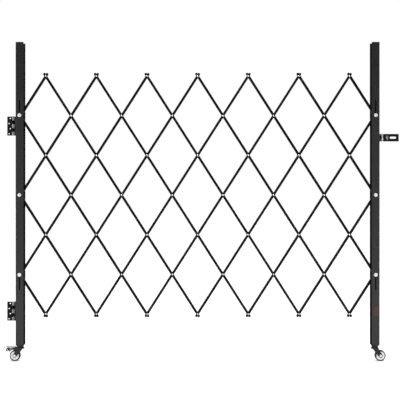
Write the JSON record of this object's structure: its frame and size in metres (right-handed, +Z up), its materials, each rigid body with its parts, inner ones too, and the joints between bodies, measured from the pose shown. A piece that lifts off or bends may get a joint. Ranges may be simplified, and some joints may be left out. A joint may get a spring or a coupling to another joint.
{
  "type": "folding security gate",
  "caption": "Scissor lattice gate between two channel posts on casters, hinged to a wall on one side and closed by a hasp on the other.",
  "frame": {"origin": "back face of the lower wall leaf, in the middle of its four screw holes", "axes": "+X along the gate from the wall hinges to the hasp, +Y into the wall, +Z up"},
  "size_m": [1.9045, 0.0524, 1.524],
  "materials": {
    "black_powder_coat": "satin powder coat",
    "lattice_black": "satin powder coat",
    "caster_black": "black coated steel",
    "caster_steel": "zinc plated",
    "zinc_fastener": "bright zinc plated",
    "zinc_sheet": "zinc plated",
    "tyre": "matte",
    "wheel_plastic": "light grey moulded"
  },
  "bodies": {
    "wall_leaves": {"upper_wall_leaf": "black_powder_coat", "lower_wall_leaf": "black_powder_coat"},
    "left_post": {"left_post": "black_powder_coat", "upper_post_leaf": "black_powder_coat", "lower_post_leaf": "black_powder_coat", "hinge_pins": "zinc_fastener", "hinge_rivets": "black_powder_coat", "left_middle_bolt": "zinc_fastener", "left_caster_stem": "caster_steel"},
    "right_post": {"right_post": "black_powder_coat", "hasp_plate": "black_powder_coat", "hasp_pin": "zinc_fastener", "hasp_rivets": "black_powder_coat", "right_middle_bolt": "zinc_fastener", "right_caster_stem": "caster_steel"},
    "front_bar_1": {"front_bar_1": "lattice_black", "rivets_1": "zinc_fastener", "left_bottom_bolt": "zinc_fastener"},
    "front_bar_2": {"front_bar_2": "lattice_black", "rivets_2": "zinc_fastener"},
    "front_bar_3": {"front_bar_3": "lattice_black", "rivets_3": "zinc_fastener", "left_top_bolt": "zinc_fastener"},
    "front_bar_4": {"front_bar_4": "lattice_black", "rivets_4": "zinc_fastener"},
    "front_bar_5": {"front_bar_5": "lattice_black", "rivets_5": "zinc_fastener"},
    "front_bar_6": {"front_bar_6": "lattice_black", "rivets_6": "zinc_fastener"},
    "front_bar_7": {"front_bar_7": "lattice_black", "rivets_7": "zinc_fastener"},
    "front_bar_8": {"front_bar_8": "lattice_black", "rivets_8": "zinc_fastener", "right_bottom_bolt": "zinc_fastener"},
    "front_bar_9": {"front_bar_9": "lattice_black", "rivets_9": "zinc_fastener"},
    "front_bar_10": {"front_bar_10": "lattice_black", "rivets_10": "zinc_fastener", "right_top_bolt": "zinc_fastener"},
    "rear_bar_1": {"rear_bar_1": "lattice_black"},
    "rear_bar_2": {"rear_bar_2": "lattice_black"},
    "rear_bar_3": {"rear_bar_3": "lattice_black"},
    "rear_bar_4": {"rear_bar_4": "lattice_black"},
    "rear_bar_5": {"rear_bar_5": "lattice_black"},
    "rear_bar_6": {"rear_bar_6": "lattice_black"},
    "rear_bar_7": {"rear_bar_7": "lattice_black"},
    "rear_bar_8": {"rear_bar_8": "lattice_black"},
    "rear_bar_9": {"rear_bar_9": "lattice_black"},
    "rear_bar_10": {"rear_bar_10": "lattice_black"},
    "hasp_strap": {"hasp_strap": "black_powder_coat"},
    "left_caster": {"left_fork": "caster_black", "left_axle": "zinc_fastener", "brake_pin": "zinc_fastener"},
    "left_wheel": {"left_hub": "wheel_plastic", "left_tyre": "tyre"},
    "brake_lever": {"brake_lever": "zinc_sheet"},
    "right_caster": {"right_fork": "caster_black", "right_axle": "zinc_fastener"},
    "right_wheel": {"right_hub": "wheel_plastic", "right_tyre": "tyre"}
  },
  "joints": [
    {"name": "gate_swing", "type": "hinge", "parent": "wall_leaves", "child": "left_post", "pos_m": [0.0164, -0.0043, 0], "axis": [0, 0, 1], "range_deg": [-110, 90]},
    {"name": "lattice_fold", "type": "hinge", "parent": "left_post", "child": "front_bar_2", "pos_m": [0.0569, -0.021, 0.5599], "axis": [0, 1, 0], "range_deg": [0, 28.5]},
    {"name": "rear_bar_2_turn", "type": "hinge", "parent": "left_post", "child": "rear_bar_2", "pos_m": [0.0569, -0.021, 0.5599], "axis": [0, 1, 0], "range_deg": [-28.5, 0]},
    {"name": "rear_bar_3_turn", "type": "hinge", "parent": "front_bar_2", "child": "rear_bar_3", "pos_m": [0.17826, -0.021, 0.3697], "axis": [0, 1, 0], "range_deg": [-57, 0]},
    {"name": "rear_bar_4_turn", "type": "hinge", "parent": "front_bar_2", "child": "rear_bar_4", "pos_m": [0.29961, -0.021, 0.1795], "axis": [0, 1, 0], "range_deg": [-57, 0]},
    {"name": "rear_bar_5_turn", "type": "hinge", "parent": "front_bar_2", "child": "rear_bar_5", "pos_m": [0.42097, -0.021, -0.0107], "axis": [0, 1, 0], "range_deg": [-57, 0]},
    {"name": "front_bar_3_turn", "type": "hinge", "parent": "rear_bar_2", "child": "front_bar_3", "pos_m": [0.17826, -0.021, 0.7501], "axis": [0, 1, 0], "range_deg": [0, 57]},
    {"name": "front_bar_4_turn", "type": "hinge", "parent": "rear_bar_2", "child": "front_bar_4", "pos_m": [0.29961, -0.021, 0.9403], "axis": [0, 1, 0], "range_deg": [0, 57]},
    {"name": "front_bar_5_turn", "type": "hinge", "parent": "rear_bar_2", "child": "front_bar_5", "pos_m": [0.42097, -0.021, 1.1305], "axis": [0, 1, 0], "range_deg": [0, 57]},
    {"name": "rear_bar_1_turn", "type": "hinge", "parent": "front_bar_3", "child": "rear_bar_1", "pos_m": [0.0569, -0.021, 0.9403], "axis": [0, 1, 0], "range_deg": [-57, 0]},
    {"name": "front_bar_1_turn", "type": "hinge", "parent": "rear_bar_3", "child": "front_bar_1", "pos_m": [0.0569, -0.021, 0.1795], "axis": [0, 1, 0], "range_deg": [0, 57]},
    {"name": "rear_bar_6_turn", "type": "hinge", "parent": "front_bar_5", "child": "rear_bar_6", "pos_m": [0.9064, -0.021, 0.3697], "axis": [0, 1, 0], "range_deg": [-57, 0]},
    {"name": "rear_bar_7_turn", "type": "hinge", "parent": "front_bar_5", "child": "rear_bar_7", "pos_m": [1.02776, -0.021, 0.1795], "axis": [0, 1, 0], "range_deg": [-57, 0]},
    {"name": "rear_bar_8_turn", "type": "hinge", "parent": "front_bar_5", "child": "rear_bar_8", "pos_m": [1.14911, -0.021, -0.0107], "axis": [0, 1, 0], "range_deg": [-57, 0]},
    {"name": "front_bar_6_turn", "type": "hinge", "parent": "rear_bar_5", "child": "front_bar_6", "pos_m": [0.9064, -0.021, 0.7501], "axis": [0, 1, 0], "range_deg": [0, 57]},
    {"name": "front_bar_7_turn", "type": "hinge", "parent": "rear_bar_5", "child": "front_bar_7", "pos_m": [1.02776, -0.021, 0.9403], "axis": [0, 1, 0], "range_deg": [0, 57]},
    {"name": "front_bar_8_turn", "type": "hinge", "parent": "rear_bar_5", "child": "front_bar_8", "pos_m": [1.14911, -0.021, 1.1305], "axis": [0, 1, 0], "range_deg": [0, 57]},
    {"name": "front_bar_9_turn", "type": "hinge", "parent": "rear_bar_7", "child": "front_bar_9", "pos_m": [1.51319, -0.021, 0.9403], "axis": [0, 1, 0], "range_deg": [0, 57]},
    {"name": "front_bar_10_turn", "type": "hinge", "parent": "rear_bar_8", "child": "front_bar_10", "pos_m": [1.7559, -0.021, 0.9403], "axis": [0, 1, 0], "range_deg": [0, 57]},
    {"name": "rear_bar_9_turn", "type": "hinge", "parent": "front_bar_7", "child": "rear_bar_9", "pos_m": [1.51319, -0.021, 0.1795], "axis": [0, 1, 0], "range_deg": [-57, 0]},
    {"name": "rear_bar_10_turn", "type": "hinge", "parent": "front_bar_8", "child": "rear_bar_10", "pos_m": [1.7559, -0.021, 0.1795], "axis": [0, 1, 0], "range_deg": [-57, 0]},
    {"name": "right_post_turn", "type": "hinge", "parent": "front_bar_9", "child": "right_post", "pos_m": [1.7559, -0.021, 0.5599], "axis": [0, 1, 0], "range_deg": [-28.5, 0]},
    {"name": "hasp_swing", "type": "hinge", "parent": "right_post", "child": "hasp_strap", "pos_m": [1.7964, -0.0043, 0.8364], "axis": [0, 0, 1], "range_deg": [-110, 90]},
    {"name": "left_caster_swivel", "type": "hinge", "parent": "left_post", "child": "left_caster", "pos_m": [0.0569, -0.021, -0.168], "axis": [0, 0, 1], "continuous": true},
    {"name": "left_wheel_spin", "type": "hinge", "parent": "left_caster", "child": "left_wheel", "pos_m": [0.0319, -0.021, -0.2085], "axis": [0, 1, 0], "continuous": true},
    {"name": "brake_press", "type": "hinge", "parent": "left_caster", "child": "brake_lever", "pos_m": [0.0224, -0.021, -0.1745], "axis": [0, -1, 0], "range_deg": [0, 12]},
    {"name": "right_caster_swivel", "type": "hinge", "parent": "right_post", "child": "right_caster", "pos_m": [1.7559, -0.021, -0.168], "axis": [0, 0, 1], "continuous": true},
    {"name": "right_wheel_spin", "type": "hinge", "parent": "right_caster", "child": "right_wheel", "pos_m": [1.7809, -0.021, -0.2085], "axis": [0, 1, 0], "continuous": true}
  ],
  "couplings": [
    {"joint": "rear_bar_2_turn", "follows": "lattice_fold", "ratio": -1},
    {"joint": "rear_bar_3_turn", "follows": "lattice_fold", "ratio": -2},
    {"joint": "rear_bar_4_turn", "follows": "lattice_fold", "ratio": -2},
    {"joint": "rear_bar_5_turn", "follows": "lattice_fold", "ratio": -2},
    {"joint": "front_bar_3_turn", "follows": "lattice_fold", "ratio": 2},
    {"joint": "front_bar_4_turn", "follows": "lattice_fold", "ratio": 2},
    {"joint": "front_bar_5_turn", "follows": "lattice_fold", "ratio": 2},
    {"joint": "rear_bar_1_turn", "follows": "lattice_fold", "ratio": -2},
    {"joint": "front_bar_1_turn", "follows": "lattice_fold", "ratio": 2},
    {"joint": "rear_bar_6_turn", "follows": "lattice_fold", "ratio": -2},
    {"joint": "rear_bar_7_turn", "follows": "lattice_fold", "ratio": -2},
    {"joint": "rear_bar_8_turn", "follows": "lattice_fold", "ratio": -2},
    {"joint": "front_bar_6_turn", "follows": "lattice_fold", "ratio": 2},
    {"joint": "front_bar_7_turn", "follows": "lattice_fold", "ratio": 2},
    {"joint": "front_bar_8_turn", "follows": "lattice_fold", "ratio": 2},
    {"joint": "front_bar_9_turn", "follows": "lattice_fold", "ratio": 2},
    {"joint": "front_bar_10_turn", "follows": "lattice_fold", "ratio": 2},
    {"joint": "rear_bar_9_turn", "follows": "lattice_fold", "ratio": -2},
    {"joint": "rear_bar_10_turn", "follows": "lattice_fold", "ratio": -2},
    {"joint": "right_post_turn", "follows": "lattice_fold", "ratio": -1}
  ]
}
